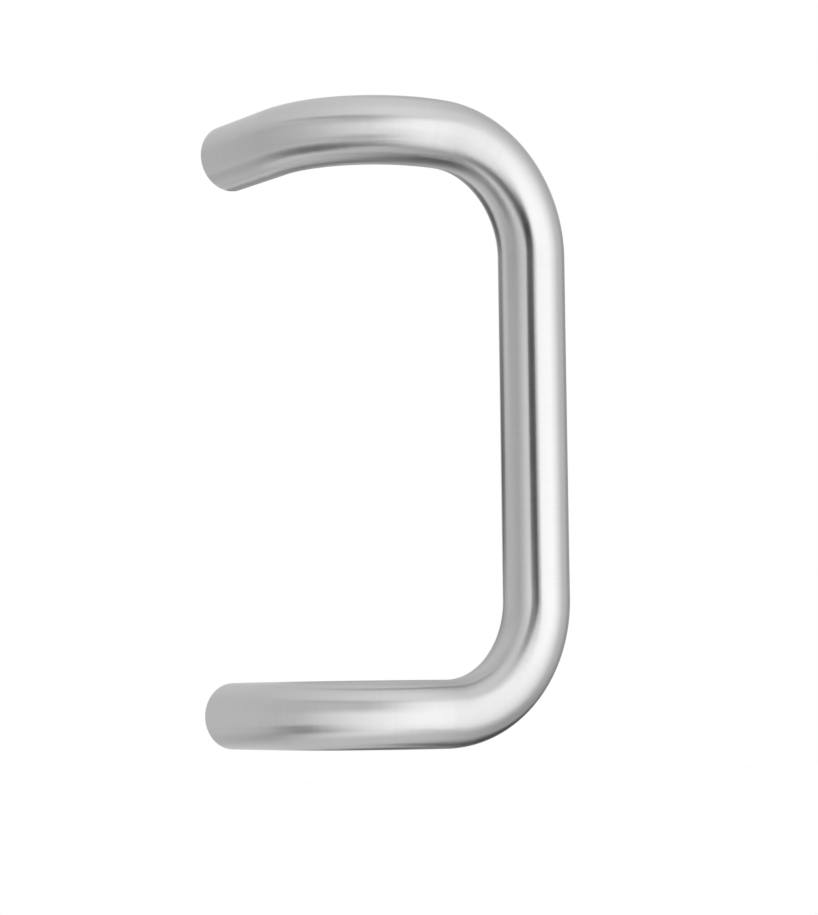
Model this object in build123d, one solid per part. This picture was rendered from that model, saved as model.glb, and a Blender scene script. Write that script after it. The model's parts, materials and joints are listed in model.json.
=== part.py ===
"""A 90 degree offset door pull, bent from one solid round bar.

Frame, in millimetres: +Z up along the grip, the door's face is the plane y = 0, and the pull stands out
from it along -Y. The grip is set over to +X. The origin lies on the door's face, midway between the two
fixing holes. The upper arm and the lower arm mirror each other about z = 0.

Each arm leaves the door at a right angle, turns sideways in a level plane, and then turns upright into
the grip. Each end is cut square, seats flat on the door, and has a blind tapped hole for a bolt that
comes through the door from its far side.
"""

from build123d import *
import math
import os

BAR_DIAMETER = 25.4        # solid round bar, 1 in
FIXING_CENTRES = 215.9     # from one fixing hole to the other, 8 1/2 in
SEAT_LEG = 34.9            # straight length of an arm from the door to its first bend
OFFSET_BEND_RADIUS = 42.9  # centreline radius of the level bend that turns an arm sideways
CORNER_BEND_RADIUS = 42.9  # centreline radius of the upright bend between an arm and the grip
BEND_GAP = 1.6             # straight length that the bender's jaw leaves between the two bends

SEAT_EDGE_BREAK = 0.6      # chamfer that takes the sharp edge off each seat

THREAD_MAJOR = 9.525       # 3/8-16 bolt
THREAD_PITCH = 1.5875
THREAD_LENGTH = 25.4       # depth of the tapped hole's straight wall
DRILL_POINT_ANGLE = 118.0  # included angle of the cone that the drill leaves
COUNTERSINK_ANGLE = 90.0   # included angle of the mouth
COUNTERSINK_ROOM = 0.4     # how far the mouth is wider than the thread, on the diameter

# The hole is modelled at the tapping drill's size, which leaves about three quarters of the thread.
TAP_DRILL_DIAMETER = THREAD_MAJOR - THREAD_PITCH

bar_radius = BAR_DIAMETER / 2
drill_radius = TAP_DRILL_DIAMETER / 2
mouth_radius = (THREAD_MAJOR + COUNTERSINK_ROOM) / 2

projection = SEAT_LEG + OFFSET_BEND_RADIUS                       # door to the grip's centreline
offset = OFFSET_BEND_RADIUS + BEND_GAP + CORNER_BEND_RADIUS      # fixing holes to the grip, sideways
arm_height = FIXING_CENTRES / 2                                  # each arm above or below the origin


def bar_path():
    """The bar's centreline: straight runs joined by the four bends."""
    corners = [
        (0, 0, arm_height),
        (0, -projection, arm_height),
        (offset, -projection, arm_height),
        (offset, -projection, -arm_height),
        (0, -projection, -arm_height),
        (0, 0, -arm_height),
    ]
    bends = [OFFSET_BEND_RADIUS, CORNER_BEND_RADIUS, CORNER_BEND_RADIUS, OFFSET_BEND_RADIUS]
    return FilletPolyline(*corners, radius=bends)


def bent_bar():
    """The round bar swept along its centreline, with the edge of each seat broken."""
    path = bar_path()
    section = Plane(origin=path @ 0, z_dir=path % 0) * Circle(bar_radius)
    bar = sweep(section, path=path)
    seats = bar.faces().filter_by(GeomType.PLANE)
    return chamfer(seats.edges(), length=SEAT_EDGE_BREAK)


def tapped_hole():
    """The space that drill, countersink and tap clear, its mouth at y = 0 and its axis along -Y."""
    mouth_depth = (mouth_radius - drill_radius) / math.tan(math.radians(COUNTERSINK_ANGLE / 2))
    point_depth = drill_radius / math.tan(math.radians(DRILL_POINT_ANGLE / 2))
    wall_end = -(mouth_depth + THREAD_LENGTH)
    profile = Polyline(
        (0, 0),
        (mouth_radius, 0),
        (drill_radius, -mouth_depth),
        (drill_radius, wall_end),
        (0, wall_end - point_depth),
        close=True,
    )
    return revolve(make_face(profile), axis=Axis.Y)


def pull_bar():
    """The whole pull: one bent bar with a tapped hole in each end."""
    holes = [Pos(0, 0, side * arm_height) * tapped_hole() for side in (1, -1)]
    return bent_bar() - holes


os.makedirs("parts", exist_ok=True)
export_step(pull_bar(), "parts/pull_bar.step")
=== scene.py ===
"""The looks of an offset door pull: one satin steel bar, bent four times, with a tapped hole in each end.

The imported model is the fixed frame. The bar is modelled again here with a finer skin, with turned seats
and with real threads in its two holes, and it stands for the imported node. Lengths are in metres.
"""

from __future__ import annotations

import json
import logging
import math
from dataclasses import dataclass, field
from enum import Enum
from typing import Any, Iterator

import bpy
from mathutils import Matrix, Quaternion, Vector


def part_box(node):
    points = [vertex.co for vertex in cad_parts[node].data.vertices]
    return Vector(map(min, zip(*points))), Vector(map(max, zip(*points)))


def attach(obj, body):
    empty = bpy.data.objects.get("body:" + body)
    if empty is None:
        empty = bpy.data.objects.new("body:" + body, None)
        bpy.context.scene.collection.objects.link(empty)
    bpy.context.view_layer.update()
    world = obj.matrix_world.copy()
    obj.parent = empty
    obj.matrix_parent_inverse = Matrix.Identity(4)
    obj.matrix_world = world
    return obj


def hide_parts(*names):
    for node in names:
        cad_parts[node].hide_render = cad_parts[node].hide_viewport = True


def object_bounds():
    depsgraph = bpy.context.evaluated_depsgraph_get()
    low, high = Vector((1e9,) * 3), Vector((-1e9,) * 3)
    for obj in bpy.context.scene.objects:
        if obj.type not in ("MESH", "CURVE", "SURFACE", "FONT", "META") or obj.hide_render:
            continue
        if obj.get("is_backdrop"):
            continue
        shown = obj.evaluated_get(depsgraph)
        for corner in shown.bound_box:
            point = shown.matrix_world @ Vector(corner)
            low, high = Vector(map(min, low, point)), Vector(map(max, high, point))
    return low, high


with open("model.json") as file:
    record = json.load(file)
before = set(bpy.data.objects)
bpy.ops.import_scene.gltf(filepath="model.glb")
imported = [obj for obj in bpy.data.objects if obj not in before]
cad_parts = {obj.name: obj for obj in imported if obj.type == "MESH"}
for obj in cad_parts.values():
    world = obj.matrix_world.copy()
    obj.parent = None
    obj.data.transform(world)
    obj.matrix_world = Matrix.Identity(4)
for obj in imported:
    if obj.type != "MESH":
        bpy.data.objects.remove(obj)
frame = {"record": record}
CAD_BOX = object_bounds()

MM = 0.001
NODE = "pull_bar"
BODY = "root"

log = logging.getLogger("door_pull")

Colour = tuple[float, float, float]

# The wide lines come from the same noise as the fine ones, this far from them and this much larger.
WIDE_LINES_SHIFT = (11.3, 7.9, 4.1)
WIDE_LINES_SCALE = 0.3
# The part of the wide lines' range that grows into deep lines, and the range that noise mostly keeps to.
DEEP_LINES_FROM, DEEP_LINES_TO = 0.55, 0.75
NOISE_LOW, NOISE_HIGH = 0.25, 0.75


class Zone(Enum):
    """Which finish a face of the bar has. The value is the face's material slot."""

    SKIN = 0
    SEAT = 1
    HOLE = 2


def mount_named(name: str) -> dict[str, Any]:
    """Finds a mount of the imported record.

    Args:
        name: The mount's name in the record.

    Returns:
        The mount as the record states it.
    """
    return next(m for m in frame["record"]["mounts"] if m["name"] == name)


def mount_spacing() -> float:
    """Gives the distance between the two fixing points."""
    return mount_named("fixing_holes")["dims"]["spacing_y_mm"] * MM


def new_object(name: str, data: bpy.types.ID) -> bpy.types.Object:
    """Makes an object and links it to the scene."""
    made = bpy.data.objects.new(name, data)
    bpy.context.scene.collection.objects.link(made)
    return made


@dataclass
class BarSizes:
    """The bar's sizes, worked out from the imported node's box and the record's mounts."""

    bend_radius: float = 42.9 * MM
    edge_break: float = 0.6 * MM
    fixing_centres: float = field(init=False)
    radius: float = field(init=False)
    projection: float = field(init=False)
    offset: float = field(init=False)

    def __post_init__(self) -> None:
        """Reads the sizes that the frame gives."""
        low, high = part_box(NODE)
        self.fixing_centres = mount_spacing()
        self.radius = high.z - self.fixing_centres / 2
        self.projection = -low.y - self.radius
        self.offset = high.x - self.radius

    @property
    def leg(self) -> float:
        """Straight length from a seat to the first bend."""
        return self.projection - self.bend_radius

    @property
    def bend_gap(self) -> float:
        """Straight length between the two bends of an arm."""
        return self.offset - 2 * self.bend_radius

    @property
    def grip(self) -> float:
        """Straight length of the grip, between its two corner bends."""
        return self.fixing_centres - 2 * self.bend_radius


@dataclass(frozen=True)
class Stretch:
    """A piece of the centreline: a straight run, or a bend about an axis where turn isn't zero."""

    length: float
    steps: int
    axis: Vector = Vector((0.0, 0.0, 1.0))
    turn: float = 0.0


@dataclass(frozen=True)
class Station:
    """A place on the centreline, with the two directions that span the bar's section there."""

    centre: Vector
    tangent: Vector
    side: Vector
    across: Vector
    distance: float

    def flipped(self) -> "Station":
        """Gives the same station with its tangent turned round."""
        return Station(self.centre, -self.tangent, self.side, self.across, self.distance)


@dataclass
class Centreline:
    """The bar's centreline, from the upper seat to the lower one."""

    sizes: BarSizes
    bend_steps: int = 60
    leg_steps: int = 14
    grip_steps: int = 64

    def stretches(self) -> list[Stretch]:
        """Lists the straight runs and bends in order."""
        s = self.sizes
        quarter = math.pi / 2
        arc = quarter * s.bend_radius
        up, along_door = Vector((0.0, 0.0, 1.0)), Vector((0.0, 1.0, 0.0))
        leg = Stretch(s.leg, self.leg_steps)
        gap = Stretch(s.bend_gap, 1)
        corner = Stretch(arc, self.bend_steps, along_door, quarter)
        return [
            leg,
            Stretch(arc, self.bend_steps, up, quarter),
            gap,
            corner,
            Stretch(s.grip, self.grip_steps),
            corner,
            gap,
            Stretch(arc, self.bend_steps, up, -quarter),
            leg,
        ]

    @property
    def length(self) -> float:
        """Length of the whole centreline."""
        return sum(s.length for s in self.stretches())

    def stations(self) -> Iterator[Station]:
        """Walks the centreline, carrying the section's directions along without twist.

        Returns:
            The stations in order, the first at the upper seat and the last at the lower one.
        """
        centre = Vector((0.0, 0.0, self.sizes.fixing_centres / 2))
        tangent, side = Vector((0.0, -1.0, 0.0)), Vector((1.0, 0.0, 0.0))
        distance = 0.0
        yield Station(centre, tangent, side, tangent.cross(side), distance)
        for stretch in self.stretches():
            start, facing, beside = centre, tangent, side
            pivot = start + stretch.axis.cross(facing) * math.copysign(
                self.sizes.bend_radius, stretch.turn
            )
            for step in range(1, stretch.steps + 1):
                share = step / stretch.steps
                if stretch.turn:
                    spin = Quaternion(stretch.axis, stretch.turn * share)
                    centre = pivot + spin @ (start - pivot)
                    tangent, side = spin @ facing, spin @ beside
                else:
                    centre = start + facing * stretch.length * share
                yield Station(
                    centre, tangent, side, tangent.cross(side), distance + stretch.length * share
                )
            distance += stretch.length


@dataclass
class TappedHole:
    """The blind tapped hole in an end of the bar, as a radius that changes with depth and angle."""

    thread_major_radius: float = 9.525 * MM / 2
    thread_pitch: float = 1.5875 * MM
    countersink_room: float = 0.4 * MM / 2
    drill_point_angle: float = math.radians(118.0)
    crest_share: float = 0.24
    root_share: float = 0.14
    flank_rows: int = 2
    cone_rows: int = 10
    runout_turns: float = 1.5
    mount: dict[str, Any] = field(default_factory=lambda: mount_named("upper_hole"))

    @property
    def wall_radius(self) -> float:
        """Radius of the drilled wall, which the crests of the thread keep."""
        return self.mount["dims"]["r_mm"] * MM

    @property
    def wall_length(self) -> float:
        """Length of the tapped wall."""
        return self.mount["dims"]["length_mm"] * MM

    @property
    def mouth_radius(self) -> float:
        """Radius of the countersunk mouth in the seat."""
        return self.thread_major_radius + self.countersink_room

    @property
    def mouth_depth(self) -> float:
        """Depth of the countersink, whose flank stands at 45 degrees."""
        return self.mouth_radius - self.wall_radius

    @property
    def wall_end(self) -> float:
        """Depth below the seat at which the wall ends and the drill point starts."""
        return self.mouth_depth + self.wall_length

    @property
    def point_depth(self) -> float:
        """Depth of the cone that the drill leaves past the wall."""
        return self.wall_radius / math.tan(self.drill_point_angle / 2)

    @property
    def rows_a_turn(self) -> int:
        """Number of the mesh's rows in one pitch of the thread."""
        return 2 * (self.flank_rows + 1)

    def groove(self, turns: float) -> float:
        """Gives how deep the thread's groove is at a place along its pitch.

        Args:
            turns: The place, in pitches, from the middle of a crest.

        Returns:
            0 on a crest, 1 in the root and a straight flank between them.
        """
        off_crest = 2 * abs((turns + 0.5) % 1.0 - 0.5)
        flank = 1 - self.crest_share - self.root_share
        return min(1.0, max(0.0, (off_crest - self.crest_share) / flank))

    def radius_at(self, depth: float, turn: float) -> float:
        """Gives the hole's radius below the seat, with its right-handed thread.

        Args:
            depth: Depth below the seat.
            turn: Place round the hole, from 0 to 1 clockwise as seen from the seat.

        Returns:
            The radius of the wall there.
        """
        left = (self.wall_end - depth) / self.thread_pitch
        fade = min(1.0, max(0.0, left / self.runout_turns))
        groove = self.groove(depth / self.thread_pitch - turn)
        cut = (self.thread_major_radius - self.wall_radius) * groove * fade
        return max(self.wall_radius + cut, self.mouth_radius - depth)

    def thread_rows(self) -> list[float]:
        """Lists the rows that follow the thread's edges and flanks, from the mouth in.

        Returns:
            Each row's depth where its turn is 0, in pitches. The first row comes below the countersink
            within its turn, and the last one lies wholly past the wall's end.
        """
        start, end = self.crest_share / 2, 0.5 - self.root_share / 2
        down = [start + (end - start) * k / self.flank_rows for k in range(self.flank_rows + 1)]
        one_pitch = down + [1.0 - place for place in reversed(down)]
        mouth, bottom = self.mouth_depth / self.thread_pitch, self.wall_end / self.thread_pitch
        places = [turn + place for turn in range(-2, math.ceil(bottom) + 1) for place in one_pitch]
        first = next(k for k, place in enumerate(places) if place + 1.0 > mouth)
        last = next(k for k, place in enumerate(places) if place >= bottom)
        return places[first : last + 1]

    def grid(self, turns: list[float]) -> list[list[float]]:
        """Lists the depths of all points of the wall, row by row from the mouth in.

        Args:
            turns: The place of each column round the hole, as for radius_at.

        Returns:
            The level rows of the countersink, then the rows that follow the thread.
        """
        level = [self.mouth_depth * row / self.cone_rows for row in range(self.cone_rows + 1)]
        rows = [[depth] * len(turns) for depth in level]
        for place in self.thread_rows():
            sunk = [(place + turn) * self.thread_pitch for turn in turns]
            rows.append([min(self.wall_end, max(self.mouth_depth, depth)) for depth in sunk])
        return rows


@dataclass
class Ring:
    """One loop of the skin: its points, how far along the skin each lies, and its zone.

    A loop that follows a thread ends on a loop before its own, which is seam_rows back.
    """

    points: list[Vector]
    walked: list[float]
    zone: Zone
    seam_rows: int = 0

    @property
    def distance(self) -> float:
        """How far along the skin the loop's first point lies."""
        return self.walked[0]


@dataclass(frozen=True)
class Corner:
    """A corner of a face: its vertex, its loop, and its place along the skin and round it."""

    vertex: int
    row: int
    walked: float
    share: float


@dataclass(frozen=True)
class Face:
    """A face of the skin: its corners, the first loop that it touches, and its finish."""

    corners: list[Corner]
    row: int
    zone: Zone


@dataclass(frozen=True)
class BakeSheet:
    """The sheet that the skin is laid out on for baking: two strips of bar over the two ends."""

    rings: list[Ring]
    skin_from: int
    skin_to: int
    point_depth: float
    strip_height: float = 0.335
    ends_height: float = 0.29
    gap: float = 0.008
    end_width: float = 0.48
    second_end: float = 0.51

    @property
    def middle(self) -> int:
        """Index of the loop at which the first strip ends and the second one starts."""
        return (self.skin_from + self.skin_to) // 2

    def strip_place(self, corner: Corner, face_row: int) -> tuple[float, float]:
        """Places a corner of the round skin.

        Args:
            corner: The corner.
            face_row: The first loop of its face.

        Returns:
            The corner's place on the sheet.
        """
        second = face_row >= self.middle
        low = self.rings[self.middle if second else self.skin_from].distance
        high = self.rings[self.skin_to - 1 if second else self.middle].distance
        base = (self.strip_height + self.gap) * second
        return (corner.walked - low) / (high - low), base + corner.share * self.strip_height

    def end_place(self, corner: Corner, face_row: int) -> tuple[float, float]:
        """Places a corner of an end, which is its edge break, its seat and its hole.

        Args:
            corner: The corner.
            face_row: The first loop of its face.

        Returns:
            The corner's place on the sheet.
        """
        deepest = self.point_depth + self.rings[self.skin_from - 1].distance
        on_skin = self.skin_from <= corner.row < self.skin_to
        along = 1.0 if on_skin else corner.walked / deepest
        base = 2 * (self.strip_height + self.gap)
        left = self.second_end * (face_row >= self.skin_from)
        return left + along * self.end_width, base + corner.share * self.ends_height

    def place(self, corner: Corner, face_row: int) -> tuple[float, float]:
        """Places any corner of the skin. The arguments are those of end_place."""
        on_bar = self.skin_from <= face_row < self.skin_to - 1
        return (self.strip_place if on_bar else self.end_place)(corner, face_row)


@dataclass
class PullBar:
    """Builds and dresses the bar as one closed mesh."""

    sizes: BarSizes
    hole: TappedHole
    segments: int = 96
    sharp_angle: float = math.radians(32.0)
    seat_shares: tuple[float, ...] = (0.02, 0.35, 0.7, 0.98, 1.0)
    line: Centreline = field(init=False)
    angles: list[float] = field(init=False)

    def __post_init__(self) -> None:
        """Works out the centreline and the angles of the points round the bar."""
        self.line = Centreline(self.sizes)
        self.angles = [math.tau * i / self.segments for i in range(self.segments)]

    def loop(self, at: Station, inward: list[float], radii: list[float]) -> list[Vector]:
        """Places one loop of points round a station.

        Args:
            at: The station that the loop goes round.
            inward: How far along the station's tangent each point lies.
            radii: The loop's radius at each angle.

        Returns:
            The loop's points.
        """
        return [
            at.centre + at.tangent * depth + (at.side * math.cos(a) + at.across * math.sin(a)) * radius
            for a, depth, radius in zip(self.angles, inward, radii)
        ]

    def level_ring(
        self, at: Station, inward: float, radius: float, walked: float, zone: Zone
    ) -> Ring:
        """Builds a plain round loop.

        Args:
            at: The station that the loop goes round.
            inward: How far along the station's tangent the loop lies.
            radius: The loop's radius.
            walked: How far along the skin it lies.
            zone: Its zone.

        Returns:
            The loop.
        """
        n = self.segments
        return Ring(self.loop(at, [inward] * n, [radius] * n), [walked] * n, zone)

    def hole_rings(self, at: Station, clockwise: bool) -> list[Ring]:
        """Builds the loops of one hole, from the end of its wall out to its mouth.

        Args:
            at: The station on the seat, its tangent pointing into the bar.
            clockwise: Whether the bar's points go round clockwise as seen from the seat.

        Returns:
            The loops in order.
        """
        hole, n = self.hole, self.segments
        turns = [i / n if clockwise else 1.0 - i / n for i in range(n)]
        grid = hole.grid(turns)[::-1]
        thread_rows = len(grid) - hole.cone_rows - 1
        rings: list[Ring] = []
        for row, depths in enumerate(grid):
            radii = [hole.radius_at(depth, turn) for depth, turn in zip(depths, turns)]
            walked = [hole.point_depth + hole.wall_end - depth for depth in depths]
            back = min(hole.rows_a_turn, row if clockwise else thread_rows - row)
            ring = Ring(self.loop(at, depths, radii), walked, Zone.HOLE)
            ring.seam_rows = back if row < thread_rows else 0
            rings.append(ring)
        return rings

    def end_rings(self, at: Station, clockwise: bool) -> list[Ring]:
        """Builds the loops of one end, from the bottom of its hole out to the rim of its seat.

        Args:
            at: The station on the seat, its tangent pointing into the bar.
            clockwise: Whether the bar's points go round clockwise as seen from the seat.

        Returns:
            The loops in order.
        """
        rings = self.hole_rings(at, clockwise)
        inner, walked = self.hole.mouth_radius, rings[-1].distance
        width = self.sizes.radius - self.sizes.edge_break - inner
        for share in self.seat_shares:
            out = width * share
            rings.append(self.level_ring(at, 0.0, inner + out, walked + out, Zone.SEAT))
        return rings

    def skin_rings(self, stations: list[Station]) -> list[Ring]:
        """Builds the loops of the bar's round skin, between the two edge breaks.

        Args:
            stations: The centreline's stations.

        Returns:
            The loops in order.
        """
        edge, radius = self.sizes.edge_break, self.sizes.radius
        first, last = stations[0], stations[-1]
        rings = [self.level_ring(first, edge, radius, edge, Zone.SKIN)]
        for at in stations[1:-1]:
            rings.append(self.level_ring(at, 0.0, radius, at.distance, Zone.SKIN))
        rings.append(self.level_ring(last, -edge, radius, last.distance - edge, Zone.SKIN))
        return rings

    def mesh(self) -> bpy.types.Mesh:
        """Builds the closed mesh with its finishes, its two UV maps and its own coordinates.

        Returns:
            The mesh, in the row's frame.
        """
        stations = list(self.line.stations())
        first, last = stations[0], stations[-1]
        upper = self.end_rings(first, clockwise=True)
        skin = self.skin_rings(stations)
        lower = self.end_rings(last.flipped(), clockwise=False)[::-1]
        rings = upper + skin + lower
        tip_in = self.hole.wall_end + self.hole.point_depth
        tips = [first.centre + first.tangent * tip_in, last.centre - last.tangent * tip_in]
        sheet = BakeSheet(rings, len(upper), len(upper) + len(skin), self.hole.point_depth)
        return self.assemble(sheet, tips)

    def numbered(self, rings: list[Ring]) -> tuple[list[Vector], list[list[int]]]:
        """Gives each point of the loops its vertex. Loops that touch share the vertex.

        Args:
            rings: All loops.

        Returns:
            The vertices, and the number of each loop's vertices.
        """
        vertices: list[Vector] = []
        numbers: list[list[int]] = []
        for row, ring in enumerate(rings):
            numbers.append([])
            for i, point in enumerate(ring.points):
                if row and point == rings[row - 1].points[i]:
                    numbers[row].append(numbers[row - 1][i])
                else:
                    numbers[row].append(len(vertices))
                    vertices.append(point)
        return vertices, numbers

    def corner(self, rings: list[Ring], numbers: list[list[int]], row: int, column: int) -> Corner:
        """Gives the corner of the faces at a place on a loop.

        Args:
            rings: All loops.
            numbers: The vertices of each loop.
            row: The loop.
            column: The place on it, where the number of segments means the loop's own end.

        Returns:
            The corner.
        """
        at_end = column == self.segments
        row, i = row - rings[row].seam_rows * at_end, column % self.segments
        return Corner(numbers[row][i], row, rings[row].walked[i], column / self.segments)

    def faces(self, rings: list[Ring], numbers: list[list[int]], first_tip: int) -> list[Face]:
        """Lists the faces between the loops, and the two fans that close the holes.

        A face between loops of different zones is a part of the seat or its edge break.

        Args:
            rings: All loops.
            numbers: The vertices of each loop.
            first_tip: The vertex of the upper drill point. The lower one's is the next.

        Returns:
            The faces.
        """
        n, last = self.segments, len(rings) - 1
        found: list[Face] = []
        for row, (ring, after) in enumerate(zip(rings, rings[1:])):
            zone = ring.zone if ring.zone is after.zone else Zone.SEAT
            for i in range(n):
                places = ((row, i), (row + 1, i), (row + 1, i + 1), (row, i + 1))
                around = [self.corner(rings, numbers, *place) for place in places]
                kept = [c for k, c in enumerate(around) if c.vertex != around[k - 1].vertex]
                if len(kept) > 2:
                    found.append(Face(kept, row, zone))
        for i in range(n):
            upper = Corner(first_tip, -1, 0.0, (i + 0.5) / n)
            lower = Corner(first_tip + 1, last + 1, 0.0, (i + 0.5) / n)
            start, end = (
                [self.corner(rings, numbers, row, column) for column in (i, i + 1)]
                for row in (0, last)
            )
            found.append(Face([upper, *start], -1, Zone.HOLE))
            found.append(Face([lower, *reversed(end)], last, Zone.HOLE))
        return found

    def assemble(self, sheet: BakeSheet, tips: list[Vector]) -> bpy.types.Mesh:
        """Joins the loops into one mesh and closes it at the bottoms of the two holes.

        Args:
            sheet: The sheet for baking, which holds all loops from the upper hole to the lower one.
            tips: The two drill points.

        Returns:
            The finished mesh.
        """
        vertices, numbers = self.numbered(sheet.rings)
        faces = self.faces(sheet.rings, numbers, len(vertices))
        mesh = bpy.data.meshes.new("pull_bar_skin")
        mesh.from_pydata(vertices + tips, [], [[c.vertex for c in face.corners] for face in faces])
        mesh.polygons.foreach_set("material_index", [face.zone.value for face in faces])
        self.lay_out(mesh, sheet, faces)
        self.keep_coordinates(mesh, sheet, numbers)
        mesh.shade_smooth()
        mesh.set_sharp_from_angle(angle=self.sharp_angle)
        mesh.validate()
        mesh.update()
        return mesh

    def lay_out(self, mesh: bpy.types.Mesh, sheet: BakeSheet, faces: list[Face]) -> None:
        """Gives the mesh its UV maps: one along the bar for the brushing, and one packed for baking.

        Args:
            mesh: The mesh.
            sheet: The sheet for baking.
            faces: The mesh's faces in order.
        """
        along = mesh.uv_layers.new(name="along_bar")
        packed = mesh.uv_layers.new(name="OFBake")
        round_bar = math.tau * self.sizes.radius
        for polygon, face in zip(mesh.polygons, faces):
            for place, corner in zip(polygon.loop_indices, face.corners):
                along.data[place].uv = (corner.walked / round_bar, corner.share)
                packed.data[place].uv = sheet.place(corner, face.row)

    def keep_coordinates(
        self, mesh: bpy.types.Mesh, sheet: BakeSheet, numbers: list[list[int]]
    ) -> None:
        """Stores each point's place on the unbent bar, which the finishes read without a seam.

        Args:
            mesh: The mesh.
            sheet: The sheet for baking, which knows the loops of the round skin.
            numbers: The vertices of each loop.
        """
        r = self.sizes.radius
        own = mesh.attributes.new("straight_bar", "FLOAT_VECTOR", "POINT")
        values = [0.0, 0.0, -1.0] * len(mesh.vertices)
        for row, ring in enumerate(sheet.rings):
            off_skin = 0.0 if sheet.skin_from <= row < sheet.skin_to else -1.0
            for vertex, angle, walked in zip(numbers[row], self.angles, ring.walked):
                place = (r * math.cos(angle), r * math.sin(angle), walked + off_skin)
                values[3 * vertex : 3 * vertex + 3] = place
        own.data.foreach_set("vector", values)

    def build(self, finishes: dict[Zone, bpy.types.Material]) -> bpy.types.Object:
        """Makes the bar's object, which rides on the row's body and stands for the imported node.

        Args:
            finishes: The material of each zone.

        Returns:
            The object.
        """
        mesh = self.mesh()
        for zone in Zone:
            mesh.materials.append(finishes[zone])
        bar = new_object("pull_bar_skin", mesh)
        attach(bar, BODY)
        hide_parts(NODE)
        log.info("%s: %d faces, %.1f mm of bar", bar.name, len(mesh.polygons), self.line.length / MM)
        return bar


class Tree:
    """A small helper that adds and links the nodes of one shader tree."""

    def __init__(self, tree: bpy.types.NodeTree) -> None:
        """Takes the tree and clears it."""
        self.tree = tree
        tree.nodes.clear()

    def add(self, kind: str, inputs: dict[str | int, Any] | None = None, **settings: Any) -> Any:
        """Adds a node.

        Args:
            kind: The node's type, without its ShaderNode prefix.
            inputs: Values or sockets for its inputs, by name or index.
            settings: Properties of the node itself.

        Returns:
            The node.
        """
        node = self.tree.nodes.new("ShaderNode" + kind)
        for name, value in settings.items():
            setattr(node, name, value)
        for key, value in (inputs or {}).items():
            if isinstance(value, bpy.types.NodeSocket):
                self.tree.links.new(value, node.inputs[key])
            else:
                node.inputs[key].default_value = value
        return node

    def math(self, operation: str, *values: Any) -> bpy.types.NodeSocket:
        """Adds a Math node and returns its result.

        Args:
            operation: The node's operation.
            values: Its inputs in order, as numbers or sockets.

        Returns:
            The result's socket.
        """
        return self.add("Math", dict(enumerate(values)), operation=operation).outputs[0]


def new_material(name: str) -> tuple[bpy.types.Material, Tree]:
    """Makes an empty material and gives the helper of its tree."""
    made = bpy.data.materials.new(name)
    made.use_nodes = True
    return made, Tree(made.node_tree)


@dataclass(frozen=True)
class Socket:
    """A named input or output of a node group."""

    name: str
    kind: str = "NodeSocketFloat"
    value: float | None = None


def new_group(
    name: str, inputs: tuple[Socket, ...], outputs: tuple[Socket, ...]
) -> tuple[Tree, Any, Any]:
    """Makes an empty node group with named sockets.

    Args:
        name: The group's name.
        inputs: Its inputs.
        outputs: Its outputs.

    Returns:
        The tree's helper, the group's input node and its output node.
    """
    made = bpy.data.node_groups.new(name, "ShaderNodeTree")
    for direction, sockets in (("INPUT", inputs), ("OUTPUT", outputs)):
        for s in sockets:
            socket = made.interface.new_socket(s.name, in_out=direction, socket_type=s.kind)
            if s.value is not None:
                socket.default_value = s.value
    tree = Tree(made)
    return tree, tree.tree.nodes.new("NodeGroupInput"), tree.tree.nodes.new("NodeGroupOutput")


def stretched_place(tree: Tree, entry: Any, scale: bpy.types.NodeSocket) -> bpy.types.NodeSocket:
    """Scales a group's Place, with another scale along the bar than round it.

    Args:
        tree: The group's tree.
        entry: The group's input node, which has Place and Stretch. Stretch is how much longer a
            feature is round the bar than along it.
        scale: Features a metre along the bar.

    Returns:
        The scaled place.
    """
    parts = tree.add("SeparateXYZ", {0: entry.outputs["Place"]}).outputs
    slow = tree.math("DIVIDE", scale, entry.outputs["Stretch"])
    scaled = {
        0: tree.math("MULTIPLY", parts[0], slow),
        1: tree.math("MULTIPLY", parts[1], slow),
        2: tree.math("MULTIPLY", parts[2], scale),
    }
    return tree.add("CombineXYZ", scaled).outputs[0]


def brushed_lines() -> bpy.types.NodeTree:
    """Builds the group for fine lines that run one way, as an abrasive belt or a facing tool leaves.

    Returns:
        The group, which gives the lines' height from 0 to 1 and a mask of the deeper lines.
    """
    tree, entry, leave = new_group(
        "brushed_lines",
        (
            Socket("Place", "NodeSocketVector"),
            Socket("Lines a Metre", value=4000.0),
            Socket("Stretch", value=60.0),
        ),
        (Socket("Height"), Socket("Deep Lines")),
    )
    place = stretched_place(tree, entry, entry.outputs["Lines a Metre"])
    fine = tree.add("TexNoise", {"Vector": place, "Scale": 1.0, "Detail": 2.0, "Roughness": 0.6})
    shifted = tree.add("VectorMath", {0: place, 1: WIDE_LINES_SHIFT}, operation="ADD").outputs[0]
    wide = tree.add(
        "TexNoise", {"Vector": shifted, "Scale": WIDE_LINES_SCALE, "Detail": 1.0, "Roughness": 0.5}
    )
    both = tree.math("ADD", fine.outputs[0], wide.outputs[0])
    deep = tree.add(
        "MapRange",
        {"Value": wide.outputs[0], "From Min": DEEP_LINES_FROM, "From Max": DEEP_LINES_TO},
    ).outputs[0]
    tree.tree.links.new(tree.math("MULTIPLY", both, 0.5), leave.inputs["Height"])
    tree.tree.links.new(deep, leave.inputs["Deep Lines"])
    return tree.tree


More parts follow.
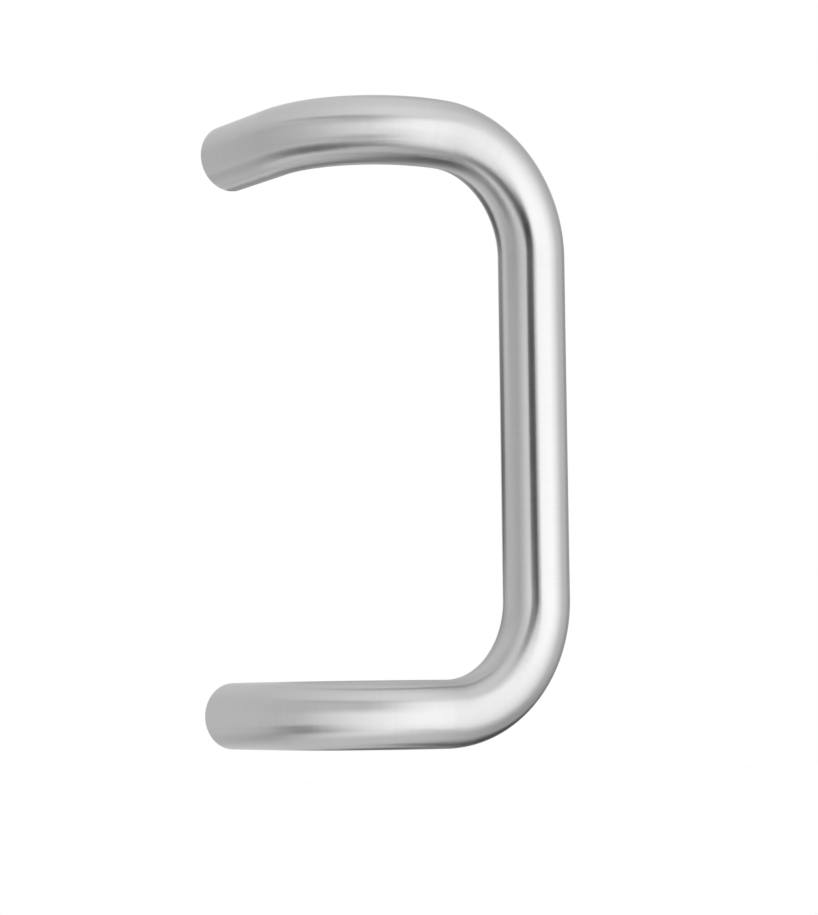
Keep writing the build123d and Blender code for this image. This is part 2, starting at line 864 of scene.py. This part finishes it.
def soft_mottle() -> bpy.types.NodeTree:
    """Builds the group for the faint, uneven patches and streaks that drawing and polishing leave.

    Returns:
        The group, which gives a value near 0.5 that changes slowly over the surface.
    """
    tree, entry, leave = new_group(
        "soft_mottle",
        (
            Socket("Place", "NodeSocketVector"),
            Socket("Patches a Metre", value=60.0),
            Socket("Stretch", value=1.0),
        ),
        (Socket("Value"),),
    )
    place = stretched_place(tree, entry, entry.outputs["Patches a Metre"])
    noise = tree.add("TexNoise", {"Vector": place, "Scale": 1.0, "Detail": 3.0, "Roughness": 0.55})
    tree.tree.links.new(noise.outputs[0], leave.inputs["Value"])
    return tree.tree


@dataclass(frozen=True)
class SteelFinish:
    """A finish of bare steel: its colour, its gloss, its lines and how wavy it is."""

    name: str
    colour: Colour
    roughness: float
    roughness_spread: float
    anisotropy: float
    lines_a_metre: float
    line_stretch: float
    line_depth: float
    shade_spread: float = 0.1
    deep_line_roughness: float = 0.03
    patches_a_metre: float = 45.0
    waves_a_metre: float = 25.0
    wave_stretch: float = 0.2
    wave_depth: float = 0.01 * MM

    def material(self, lines: bpy.types.NodeTree, mottle: bpy.types.NodeTree) -> bpy.types.Material:
        """Builds the finish's material.

        Args:
            lines: The group of fine lines.
            mottle: The group of soft patches.

        Returns:
            The material.
        """
        made, tree = new_material(self.name)
        place = tree.add("Attribute", attribute_name="straight_bar").outputs["Vector"]
        line = tree.add(
            "Group",
            {"Place": place, "Lines a Metre": self.lines_a_metre, "Stretch": self.line_stretch},
            node_tree=lines,
        )
        patch, wave = (
            tree.add(
                "Group",
                {"Place": place, "Patches a Metre": patches, "Stretch": stretch},
                node_tree=mottle,
            ).outputs["Value"]
            for patches, stretch in (
                (self.patches_a_metre, 1.0), (self.waves_a_metre, self.wave_stretch)
            )
        )
        tangent = tree.add("Tangent", direction_type="UV_MAP", uv_map="along_bar").outputs[0]
        shader = tree.add(
            "BsdfPrincipled",
            {
                "Base Color": self.shade(tree, patch, line.outputs["Height"]),
                "Metallic": 1.0,
                "Roughness": self.gloss(tree, patch, line.outputs["Deep Lines"]),
                "Anisotropic": self.anisotropy,
                "Normal": self.relief(tree, wave, line.outputs["Height"]),
                "Tangent": tangent,
            },
        )
        tree.add("OutputMaterial", {"Surface": shader.outputs[0]})
        return made

    def shade(
        self, tree: Tree, patch: bpy.types.NodeSocket, height: bpy.types.NodeSocket
    ) -> bpy.types.NodeSocket:
        """Varies the colour with the patches and the lines.

        Args:
            tree: The material's tree.
            patch: The soft patches.
            height: The lines' height.

        Returns:
            The colour.
        """
        dark, light = (
            (*(c * k for c in self.colour), 1.0) for k in (1 - self.shade_spread, 1 + self.shade_spread)
        )
        value = tree.math("MULTIPLY", tree.math("ADD", patch, height), 0.5)
        return tree.add("Mix", {"Factor": value, 6: dark, 7: light}, data_type="RGBA").outputs[2]

    def gloss(
        self, tree: Tree, patch: bpy.types.NodeSocket, deep: bpy.types.NodeSocket
    ) -> bpy.types.NodeSocket:
        """Varies the roughness with the patches and the deeper lines.

        Args:
            tree: The material's tree.
            patch: The soft patches.
            deep: The mask of the deeper lines.

        Returns:
            The roughness.
        """
        spread = tree.add(
            "MapRange",
            {
                "Value": patch,
                "From Min": NOISE_LOW,
                "From Max": NOISE_HIGH,
                "To Min": self.roughness - self.roughness_spread,
                "To Max": self.roughness + self.roughness_spread,
            },
        ).outputs[0]
        return tree.math("ADD", spread, tree.math("MULTIPLY", deep, self.deep_line_roughness))

    def relief(
        self, tree: Tree, wave: bpy.types.NodeSocket, height: bpy.types.NodeSocket
    ) -> bpy.types.NodeSocket:
        """Tilts the surface with the long waves and the fine lines.

        Args:
            tree: The material's tree.
            wave: The long, shallow waves.
            height: The lines' height.

        Returns:
            The normal.
        """
        wavy = tree.add("Bump", {"Strength": 1.0, "Distance": self.wave_depth, "Height": wave})
        lined = tree.add(
            "Bump",
            {
                "Strength": 1.0,
                "Distance": self.line_depth,
                "Height": height,
                "Normal": wavy.outputs[0],
            },
        )
        return lined.outputs[0]


SATIN = SteelFinish(
    name="satin_bar",
    colour=(0.62, 0.62, 0.62),
    roughness=0.3,
    roughness_spread=0.02,
    anisotropy=1.0,
    lines_a_metre=3000.0,
    line_stretch=60.0,
    line_depth=0.002 * MM,
)
FACED = SteelFinish(
    name="turned_seat",
    colour=(0.6, 0.6, 0.6),
    roughness=0.3,
    roughness_spread=0.03,
    anisotropy=0.6,
    lines_a_metre=2500.0,
    line_stretch=80.0,
    line_depth=0.01 * MM,
)
THREADED = SteelFinish(
    name="cut_thread",
    colour=(0.5, 0.5, 0.5),
    roughness=0.34,
    roughness_spread=0.05,
    anisotropy=0.3,
    lines_a_metre=2500.0,
    line_stretch=40.0,
    line_depth=0.004 * MM,
)


@dataclass
class PhotoCamera:
    """The camera that sees the pull as the photograph does. Pixels are in the photograph's frame."""

    sizes: BarSizes
    photo_height: int = 915
    focal_pixels: float = 2478.0
    centre_row: float = 545.0
    azimuth: float = math.radians(-35.18)
    elevation: float = math.radians(-3.5)
    roll: float = math.radians(-0.73)
    distance: float = 0.94
    slide_right: float = -0.048
    slide_up: float = -0.0439
    sensor_width: float = 36.0
    farthest: float = 60.0

    @property
    def back(self) -> Vector:
        """Direction from the pull towards the camera."""
        level = math.cos(self.elevation)
        across, out = math.sin(self.azimuth) * level, -math.cos(self.azimuth) * level
        return Vector((across, out, math.sin(self.elevation)))

    @property
    def right(self) -> Vector:
        """Level direction towards the right of the picture."""
        return Vector((math.cos(self.azimuth), math.sin(self.azimuth), 0.0))

    @property
    def eye(self) -> Vector:
        """Place of the camera, set out from the middle of the grip."""
        grip = Vector((self.sizes.offset, -self.sizes.projection, 0.0))
        slide = self.right * self.slide_right + Vector((0.0, 0.0, self.slide_up))
        return grip + self.back * self.distance + slide

    def build(self) -> bpy.types.Object:
        """Makes the camera and sets it as the scene's.

        Returns:
            The camera's object.
        """
        data = bpy.data.cameras.new("photo_camera")
        data.sensor_width = self.sensor_width
        data.lens = self.focal_pixels / self.photo_height * self.sensor_width
        data.shift_y = (self.centre_row - self.photo_height / 2) / self.photo_height
        data.clip_end = self.farthest
        camera = new_object("photo_camera", data)
        camera.location = self.eye
        camera.rotation_mode = "QUATERNION"
        turned = (-self.back).to_track_quat("-Z", "Y")
        camera.rotation_quaternion = turned @ Quaternion((0.0, 0.0, 1.0), self.roll)
        bpy.context.scene.camera = camera
        return camera


@dataclass(frozen=True)
class Bearing:
    """A range of directions from the pull, in degrees. Azimuth 0 is straight out, and +X is at 90."""

    left: float
    right: float
    low: float
    high: float

    @property
    def middle(self) -> Vector:
        """Direction to the middle of the range."""
        return self.direction((self.left + self.right) / 2, (self.low + self.high) / 2)

    def spread(self, distance: float) -> tuple[float, float]:
        """Gives the width and height of a flat sheet that fills the range at a distance."""
        wide, high = math.radians(self.right - self.left) / 2, math.radians(self.high - self.low) / 2
        return 2 * distance * math.tan(wide), 2 * distance * math.tan(high)

    @staticmethod
    def direction(azimuth: float, elevation: float) -> Vector:
        """Gives the unit direction of an azimuth and an elevation in degrees."""
        a, e = math.radians(azimuth), math.radians(elevation)
        return Vector((math.sin(a) * math.cos(e), -math.cos(a) * math.cos(e), math.sin(e)))


@dataclass(frozen=True)
class SoftLamp:
    """A large flat soft box that looks at the pull."""

    name: str
    bearing: Bearing
    distance: float
    radiance: float

    def build(self, target: Vector) -> bpy.types.Object:
        """Makes the lamp, facing the target.

        Args:
            target: The point that the lamp looks at.

        Returns:
            The lamp's object.
        """
        data = bpy.data.lights.new(self.name, "AREA")
        data.shape = "RECTANGLE"
        data.size, data.size_y = self.bearing.spread(self.distance)
        data.energy = self.radiance * math.pi * data.size * data.size_y
        lamp = new_object(self.name, data)
        away = self.bearing.middle
        lamp.location = target + away * self.distance
        lamp.rotation_mode = "QUATERNION"
        lamp.rotation_quaternion = (-away).to_track_quat("-Z", "Y")
        lamp.visible_camera = lamp.visible_glossy = False
        log.info("%s: %.2f by %.2f m", self.name, data.size, data.size_y)
        return lamp


class Tone(Enum):
    """How light a card looks in a reflection, where the white surroundings are 1."""

    BLACK = 0.0
    CHARCOAL = 0.1
    SLATE = 0.2
    DIM = 0.33
    GREY = 0.45
    PALE = 0.62
    LIGHT = 0.82
    WHITE = 1.0
    SHINING = 1.15
    BRIGHT = 1.4
    GLOWING = 1.7


@dataclass(frozen=True)
class Fade:
    """How wide the soft edge of each side of a card is, in degrees."""

    left: float = 4.0
    right: float = 4.0
    low: float = 4.0
    high: float = 4.0


class Around(Enum):
    """What a group of cards stands round. The value is its height, where a fixing point's is 1."""

    WHOLE = 0.0
    UPPER_ARM = 1.0
    LOWER_ARM = -1.0

    def middle(self, target: Vector) -> Vector:
        """Gives the point that the group stands round, from the middle of the pull."""
        return target + Vector((0.0, 0.0, self.value * mount_spacing() / 2))


@dataclass(frozen=True)
class Card:
    """A curved sheet round the pull that only reflections show, as a grey or black card does."""

    name: str
    bearing: Bearing
    distance: float
    tone: Tone
    fade: Fade = Fade()
    facet: float = 6.0

    def stops(self, low: float, high: float, fade_low: float, fade_high: float) -> list[float]:
        """Lists the angles of the sheet's rows along one side.

        Args:
            low: The first angle.
            high: The last angle.
            fade_low: Width of the soft edge at the first angle.
            fade_high: Width of the soft edge at the last angle.

        Returns:
            The angles, with the two soft edges as the outermost rows.
        """
        first, last = low + fade_low, high - fade_high
        count = max(1, math.ceil((last - first) / self.facet))
        return [low, *(first + (last - first) * i / count for i in range(count + 1)), high]

    def mesh(self, target: Vector) -> bpy.types.Mesh:
        """Builds the sheet on a ball round the target, with how much it covers at each point.

        Args:
            target: The middle of the ball.

        Returns:
            The sheet's mesh.
        """
        b, fade = self.bearing, self.fade
        across = self.stops(b.left, b.right, fade.left, fade.right)
        up = self.stops(b.low, b.high, fade.low, fade.high)
        points = [target + self.distance * Bearing.direction(a, e) for e in up for a in across]
        row = len(across)
        corners = [j * row + i for j in range(len(up) - 1) for i in range(row - 1)]
        mesh = bpy.data.meshes.new(self.name)
        mesh.from_pydata(points, [], [(c, c + 1, c + row + 1, c + row) for c in corners])
        cover = mesh.attributes.new("cover", "FLOAT", "POINT")
        inside = [
            float(0 < j < len(up) - 1 and 0 < i < row - 1) for j in range(len(up)) for i in range(row)
        ]
        cover.data.foreach_set("value", inside)
        return mesh

    def build(self, target: Vector) -> bpy.types.Object:
        """Makes the card, marks it as stage and hides it from all rays but reflections.

        Args:
            target: The point that the card stands round.

        Returns:
            The card's object.
        """
        mesh = self.mesh(target)
        made, tree = new_material(self.name)
        plain = tree.add("Emission", {"Color": (1.0, 1.0, 1.0, 1.0), "Strength": self.tone.value})
        clear = tree.add("BsdfTransparent")
        cover = tree.add("Attribute", attribute_name="cover").outputs["Fac"]
        mixed = tree.add("MixShader", {0: cover, 1: clear.outputs[0], 2: plain.outputs[0]})
        tree.add("OutputMaterial", {"Surface": mixed.outputs[0]})
        made.cycles.emission_sampling = "NONE"
        mesh.materials.append(made)
        card = new_object(self.name, mesh)
        card.visible_camera = card.visible_diffuse = card.visible_shadow = False
        card.visible_transmission = card.visible_volume_scatter = False
        card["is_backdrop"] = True
        log.info("%s: %s", self.name, self.tone.name)
        return card


LOWER_ARM_CARDS = (
    Card("lower_fill", Bearing(-88, -8, -54, 18), 0.12, Tone.BRIGHT, Fade(50, 14, 14, 16)),
    Card("lower_streak", Bearing(-162, -90, -48, -22), 0.121, Tone.GREY, Fade(26, 26, 9, 9)),
    Card("lower_left_fill", Bearing(-205, -90, -52, 34), 0.125, Tone.LIGHT, Fade(10, 24, 8, 12)),
    Card("corner_edge_flag", Bearing(60, 130, -84, -30), 0.128, Tone.BLACK, Fade(16, 16, 8, 14)),
    Card("lower_corner", Bearing(25, 84, -52, -4), 0.13, Tone.GREY, Fade(26, 12, 8, 22)),
    Card("lower_under_front", Bearing(-205, 80, -62, -34), 0.135, Tone.LIGHT, Fade(10, 14, 2, 8)),
    Card("lower_under", Bearing(-180, 180, -90, -56), 0.14, Tone.LIGHT, Fade(0, 0, 2, 8)),
)
UPPER_ARM_CARDS = (
    Card("upper_fill", Bearing(-68, -22, -24, 14), 0.12, Tone.WHITE, Fade(18, 10, 10, 10)),
    Card("upper_left_fill", Bearing(-168, -112, -64, 34), 0.125, Tone.LIGHT, Fade(16, 30, 8, 12)),
)
DARK_FLAGS = (
    Card("grip_line_flag", Bearing(-52, -24, -60, 42), 0.80, Tone.BLACK, Fade(high=6)),
    Card("low_line_flag", Bearing(-48, -15, -34, 3), 0.795, Tone.BLACK, Fade(high=8)),
    Card("line_turn", Bearing(-46, 0, -62, -32), 0.79, Tone.CHARCOAL, Fade(4, 14, 6, 10)),
    Card("grip_edge_flag", Bearing(-197, -158, -28, 14), 0.84, Tone.CHARCOAL),
    Card("streak_flag", Bearing(-150, -70, -70, -30), 0.60, Tone.BLACK, Fade(24, 6, 8, 6)),
    Card("nadir_flag", Bearing(90, 205, -90, -60), 0.85, Tone.SLATE),
    Card("low_back_flag", Bearing(100, 154, -66, -22), 0.85, Tone.BLACK, Fade(6, 6, 4, 10)),
)
LIGHT_CARDS = (
    Card("soft_box", Bearing(-30, 62, -52, 40), 0.81, Tone.GLOWING, Fade(14, 34, 8, 12)),
    Card("top_box", Bearing(-40, 50, 34, 80), 0.82, Tone.SHINING, Fade(14, 20, 6, 20)),
    Card("panel_gap", Bearing(-102, -25, 32, 45), 0.85, Tone.GREY, Fade(10, 20, 5, 5)),
    Card("left_card", Bearing(-215, -62, -32, 30), 0.86, Tone.PALE, Fade(4, 32, 6, 2)),
    Card("left_top_card", Bearing(-215, -60, 22, 85), 0.865, Tone.LIGHT, Fade(4, 30, 8, 6)),
    Card("back_card", Bearing(88, 150, -30, 24), 0.86, Tone.GREY, Fade(10, 6, 6, 8)),
    Card("right_card", Bearing(50, 160, -80, 65), 0.87, Tone.PALE, Fade(45, 6, 6, 6)),
    Card("under_card", Bearing(-180, 180, -76, -54), 0.88, Tone.DIM),
    Card("low_front_card", Bearing(-88, 4, -66, -44), 0.89, Tone.DIM),
)
CARDS = {
    Around.LOWER_ARM: LOWER_ARM_CARDS,
    Around.UPPER_ARM: UPPER_ARM_CARDS,
    Around.WHOLE: DARK_FLAGS + LIGHT_CARDS,
}


@dataclass(frozen=True)
class Studio:
    """The plain surroundings: a pale floor, a white background, a soft lamp and the cards.

    Where two cards overlap, the nearer one covers the other.
    """

    floor_drop: float = 0.83
    floor_side: float = 40.0
    floor_colour: Colour = (0.92, 0.92, 0.92)
    floor_roughness: float = 0.5
    floor_lift: float = 0.1
    world_level: float = 1.0
    lamps: tuple[SoftLamp, ...] = (
        SoftLamp("key_lamp", Bearing(-25, 45, -50, 35), 0.9, 0.7),
    )

    def build(self, target: Vector) -> None:
        """Makes the floor, the world, the lamps and the cards.

        Args:
            target: The point that the lamps and cards stand round.
        """
        self.floor()
        self.world()
        for lamp in self.lamps:
            lamp.build(target)
        for around, cards in CARDS.items():
            for card in cards:
                card.build(around.middle(target))

    def floor(self) -> bpy.types.Object:
        """Makes the floor, well below the pull, and marks it as stage."""
        low, _ = CAD_BOX
        half, z = self.floor_side / 2, low.z - self.floor_drop
        mesh = bpy.data.meshes.new("floor")
        corners = [(-half, -half, z), (half, -half, z), (half, half, z), (-half, half, z)]
        mesh.from_pydata(corners, [], [(0, 1, 2, 3)])
        floor = new_object("floor", mesh)
        made, tree = new_material("pale_floor")
        matte = tree.add(
            "BsdfDiffuse", {"Color": (*self.floor_colour, 1.0), "Roughness": self.floor_roughness}
        )
        seen = tree.add("LightPath").outputs["Is Camera Ray"]
        lift = tree.add("Emission", {"Strength": tree.math("MULTIPLY", seen, self.floor_lift)})
        both = tree.add("AddShader", {0: matte.outputs[0], 1: lift.outputs[0]})
        tree.add("OutputMaterial", {"Surface": both.outputs[0]})
        mesh.materials.append(made)
        floor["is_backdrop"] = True
        return floor

    def world(self) -> None:
        """Makes the plain white world."""
        world = bpy.data.worlds.new("white_world")
        world.use_nodes = True
        tree = Tree(world.node_tree)
        plain = tree.add("Background", {"Color": (1.0, 1.0, 1.0, 1.0), "Strength": self.world_level})
        tree.add("OutputWorld", {"Surface": plain.outputs[0]})
        bpy.context.scene.world = world


def write_sizes() -> None:
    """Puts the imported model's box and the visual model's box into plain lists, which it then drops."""
    boxes = {"cad": CAD_BOX, "visual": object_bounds()}
    {name: [list(low), list(high)] for name, (low, high) in boxes.items()}


def main() -> None:
    """Builds the bar, the camera and the studio in order."""
    logging.basicConfig(level=logging.INFO, format="%(name)s: %(message)s")
    bpy.context.scene.view_settings.view_transform = "Standard"
    sizes = BarSizes()
    lines, mottle = brushed_lines(), soft_mottle()
    finishes = {
        Zone.SKIN: SATIN.material(lines, mottle),
        Zone.SEAT: FACED.material(lines, mottle),
        Zone.HOLE: THREADED.material(lines, mottle),
    }
    PullBar(sizes, TappedHole()).build(finishes)
    PhotoCamera(sizes).build()
    low, high = CAD_BOX
    Studio().build((low + high) / 2)
    write_sizes()


if __name__ == "__main__":
    main()
